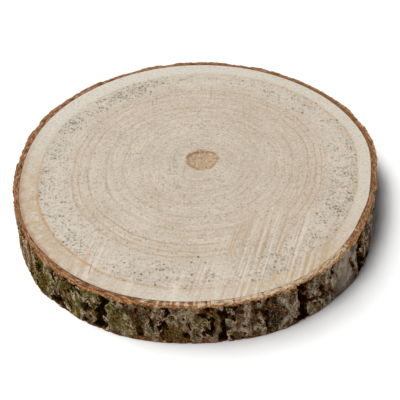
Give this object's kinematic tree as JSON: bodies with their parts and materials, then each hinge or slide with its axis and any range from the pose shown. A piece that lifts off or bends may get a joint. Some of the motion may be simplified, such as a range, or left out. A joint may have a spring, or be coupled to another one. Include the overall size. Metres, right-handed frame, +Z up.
{
  "type": "wood slice",
  "caption": "Round slice sawn across a tree trunk, flat on both faces, with fissured bark left on its edge; used as a stand, board or decoration.",
  "frame": {"origin": "on the trunk's axis, in the lower sawn face", "axes": "+Z up, square to the sawn faces; -Y towards the side that the picture shows in front"},
  "size_m": [0.3147, 0.3198, 0.041],
  "materials": {
    "sawn_wood": "dry pale sawn end grain with thin ochre rings and grey specks",
    "bark": "rough fissured grey-brown bark with green algae"
  },
  "bodies": {
    "root": {"wood_slice": "sawn_wood"}
  },
  "joints": []
}
